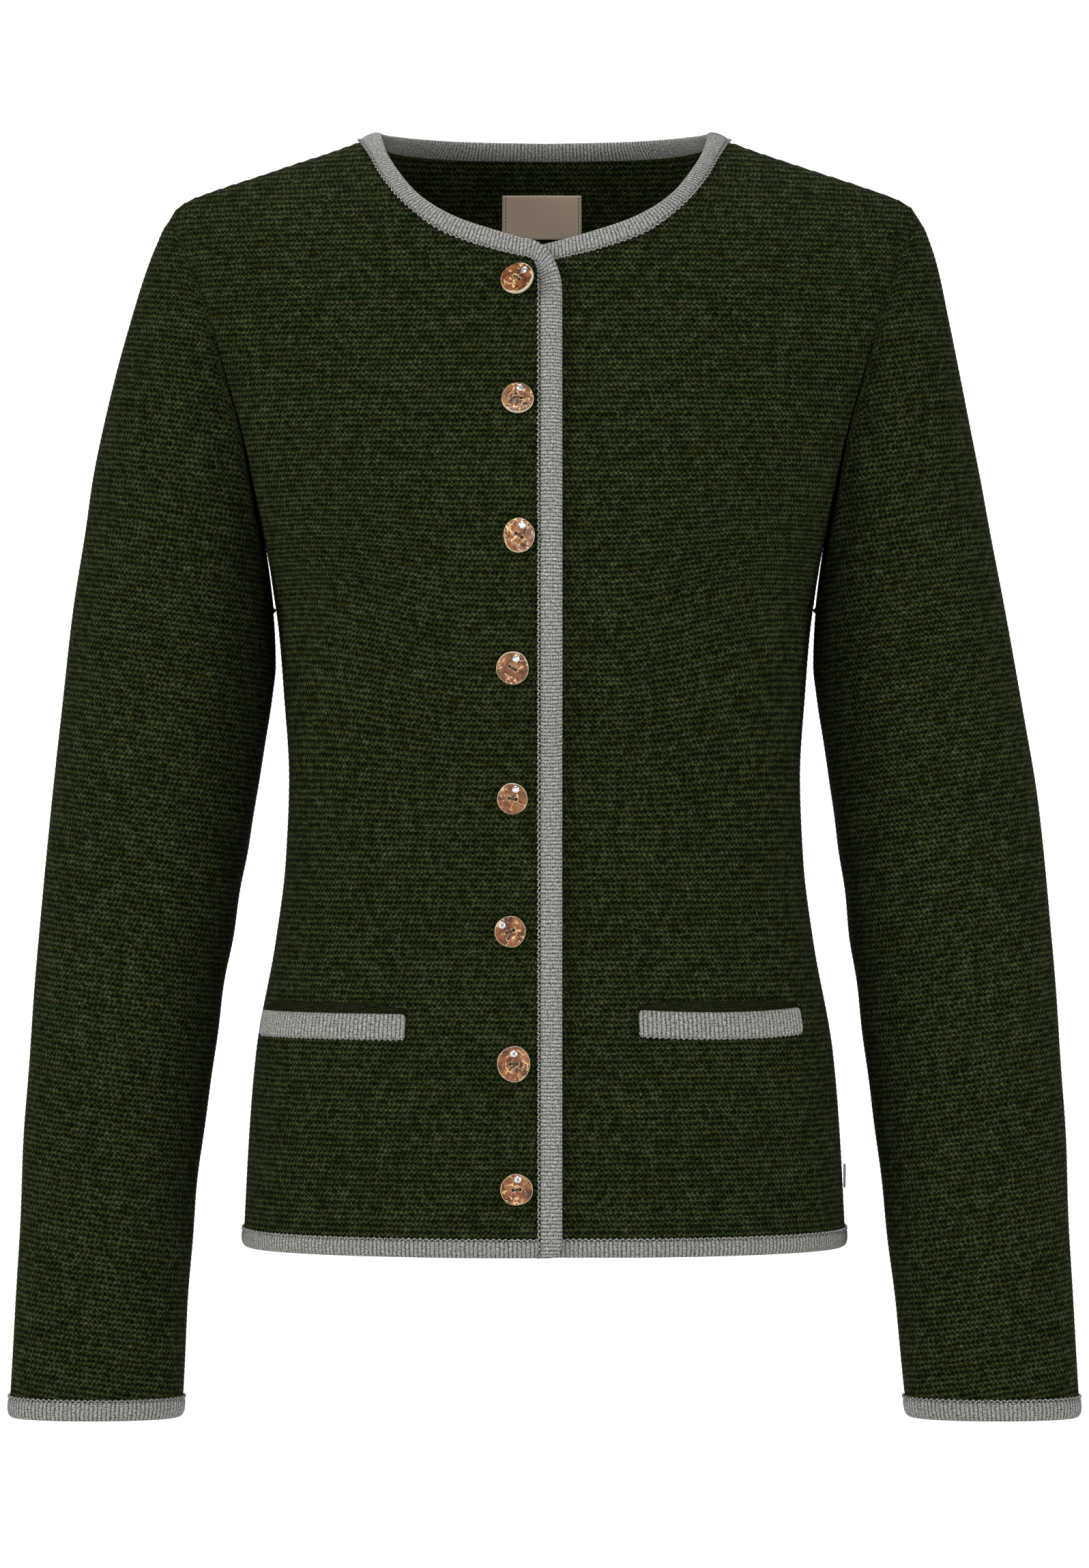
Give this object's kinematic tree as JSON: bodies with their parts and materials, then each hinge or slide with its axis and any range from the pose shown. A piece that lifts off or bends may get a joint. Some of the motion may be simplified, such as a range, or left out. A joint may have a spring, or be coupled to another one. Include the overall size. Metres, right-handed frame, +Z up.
{
  "type": "buttoned knit cardigan in its worn shape, hollow",
  "caption": "Long-sleeved round-neck knit cardigan, hollow as worn, with folded jersey bands, welt pockets and horn buttons.",
  "frame": {"origin": "midway between the two high points of the shoulders, where the neck band passes over them", "axes": "+Z up towards the neck, -Y out of the front, +X towards the wearer's left sleeve"},
  "size_m": [0.5538, 0.2389, 0.6668],
  "materials": {
    "green_knit": "purl-faced heather knit, dark green",
    "green_rib": "fine ribbed jersey, dark green",
    "grey_jersey": "folded heather grey jersey",
    "horn": "polished horn slice, brown with pale veins",
    "cut_glass": "small faceted stone",
    "woven_label": "plain woven satin label",
    "badge_metal": "plain satin metal plate"
  },
  "bodies": {
    "root": {"back": "green_knit", "front_right": "green_knit", "front_left": "green_knit", "sleeve_right": "green_knit", "sleeve_left": "green_knit", "cuff_right": "grey_jersey", "cuff_left": "grey_jersey", "hem_band": "grey_jersey", "band_front_right": "grey_jersey", "band_front_left": "grey_jersey", "band_neck": "grey_jersey", "pocket_welt_right": "grey_jersey", "pocket_welt_left": "grey_jersey", "pocket_bag_right": "green_rib", "pocket_bag_left": "green_rib", "button_1": "horn", "button_2": "horn", "button_3": "horn", "button_4": "horn", "button_5": "horn", "button_6": "horn", "button_7": "horn", "button_8": "horn", "stone_1": "cut_glass", "stone_2": "cut_glass", "stone_3": "cut_glass", "stone_4": "cut_glass", "stone_5": "cut_glass", "stone_6": "cut_glass", "stone_7": "cut_glass", "stone_8": "cut_glass", "label": "woven_label", "badge": "badge_metal"}
  },
  "joints": []
}
